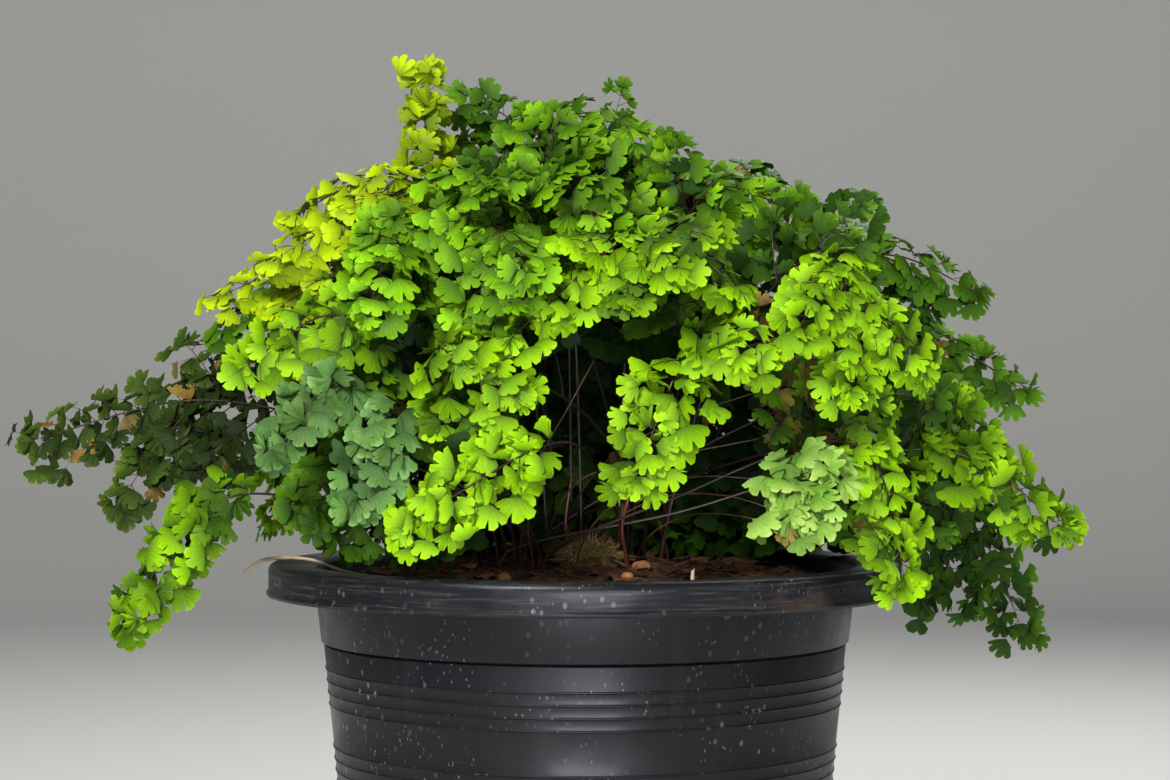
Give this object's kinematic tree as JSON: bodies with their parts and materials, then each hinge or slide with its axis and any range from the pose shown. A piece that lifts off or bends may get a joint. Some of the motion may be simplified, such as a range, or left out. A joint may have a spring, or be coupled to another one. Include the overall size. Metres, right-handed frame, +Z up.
{
  "type": "potted maidenhair fern",
  "caption": "Maidenhair fern with arching sprays of fan-shaped leaflets on thin dark stalks, standing in soil in a round black plastic nursery pot with a turned-down rim.",
  "frame": {"origin": "centre of the pot's flat base, on the surface that it stands on", "axes": "+Z up, +X to the right and -Y towards the viewer, as in the picture"},
  "size_m": [0.5123, 0.3493, 0.4842],
  "materials": {
    "pot_plastic": "satin black moulded plastic, dusty, with water specks",
    "soil": "dark peaty compost with bark and dead leaflets",
    "moss": "dull dry moss and dead roots",
    "stone": "rough tan grit",
    "straw": "dry pale stalk",
    "leaf_lime": "thin satin leaf, vivid lime green",
    "leaf_yellow": "thin satin leaf, yellow-green",
    "leaf_deep": "thin satin leaf, mid green",
    "leaf_dull": "thin dull leaf, dark green",
    "leaf_blue": "thin leaf with a bluish bloom",
    "leaf_pale": "thin pale green leaf with a faint bloom",
    "stalk": "polished wiry stalk, brown-black"
  },
  "bodies": {
    "root": {"cut_stub": "straw", "dry_stalk": "straw", "frond_arch_left": "leaf_lime", "frond_arch_right": "leaf_lime", "frond_back_centre": "leaf_lime", "frond_back_high": "leaf_lime", "frond_back_left": "leaf_deep", "frond_back_left_high": "leaf_lime", "frond_back_low": "leaf_deep", "frond_back_low_left": "leaf_lime", "frond_back_low_right": "leaf_lime", "frond_back_right": "leaf_lime", "frond_blue_hanging": "leaf_blue", "frond_blue_left": "leaf_blue", "frond_brown": "leaf_deep", "frond_centre_high": "leaf_lime", "frond_centre_left": "leaf_lime", "frond_centre_low": "leaf_lime", "frond_far_left": "leaf_dull", "frond_far_right": "leaf_lime", "frond_front_left": "leaf_lime", "frond_front_low": "leaf_lime", "frond_hang_centre": "leaf_lime", "frond_hang_wing": "leaf_lime", "frond_left_dark": "leaf_deep", "frond_left_front": "leaf_lime", "frond_left_shoulder": "leaf_lime", "frond_low_back": "leaf_dull", "frond_low_left": "leaf_lime", "frond_lower_left": "leaf_deep", "frond_middle_left": "leaf_yellow", "frond_middle_low": "leaf_lime", "frond_pale_low": "leaf_pale", "frond_right_back": "leaf_deep", "frond_right_back_top": "leaf_deep", "frond_right_crown": "leaf_deep", "frond_right_front": "leaf_lime", "frond_right_low": "leaf_yellow", "frond_right_middle": "leaf_lime", "frond_right_top": "leaf_lime", "frond_top_back": "leaf_deep", "frond_top_dark": "leaf_deep", "frond_top_front": "leaf_lime", "frond_top_right_spike": "leaf_deep", "frond_top_spike": "leaf_yellow", "frond_upper_left": "leaf_yellow", "moss": "moss", "pot": "pot_plastic", "soil": "soil", "stone_1": "stone", "stone_2": "stone", "stone_3": "stone", "stone_4": "stone"}
  },
  "joints": []
}
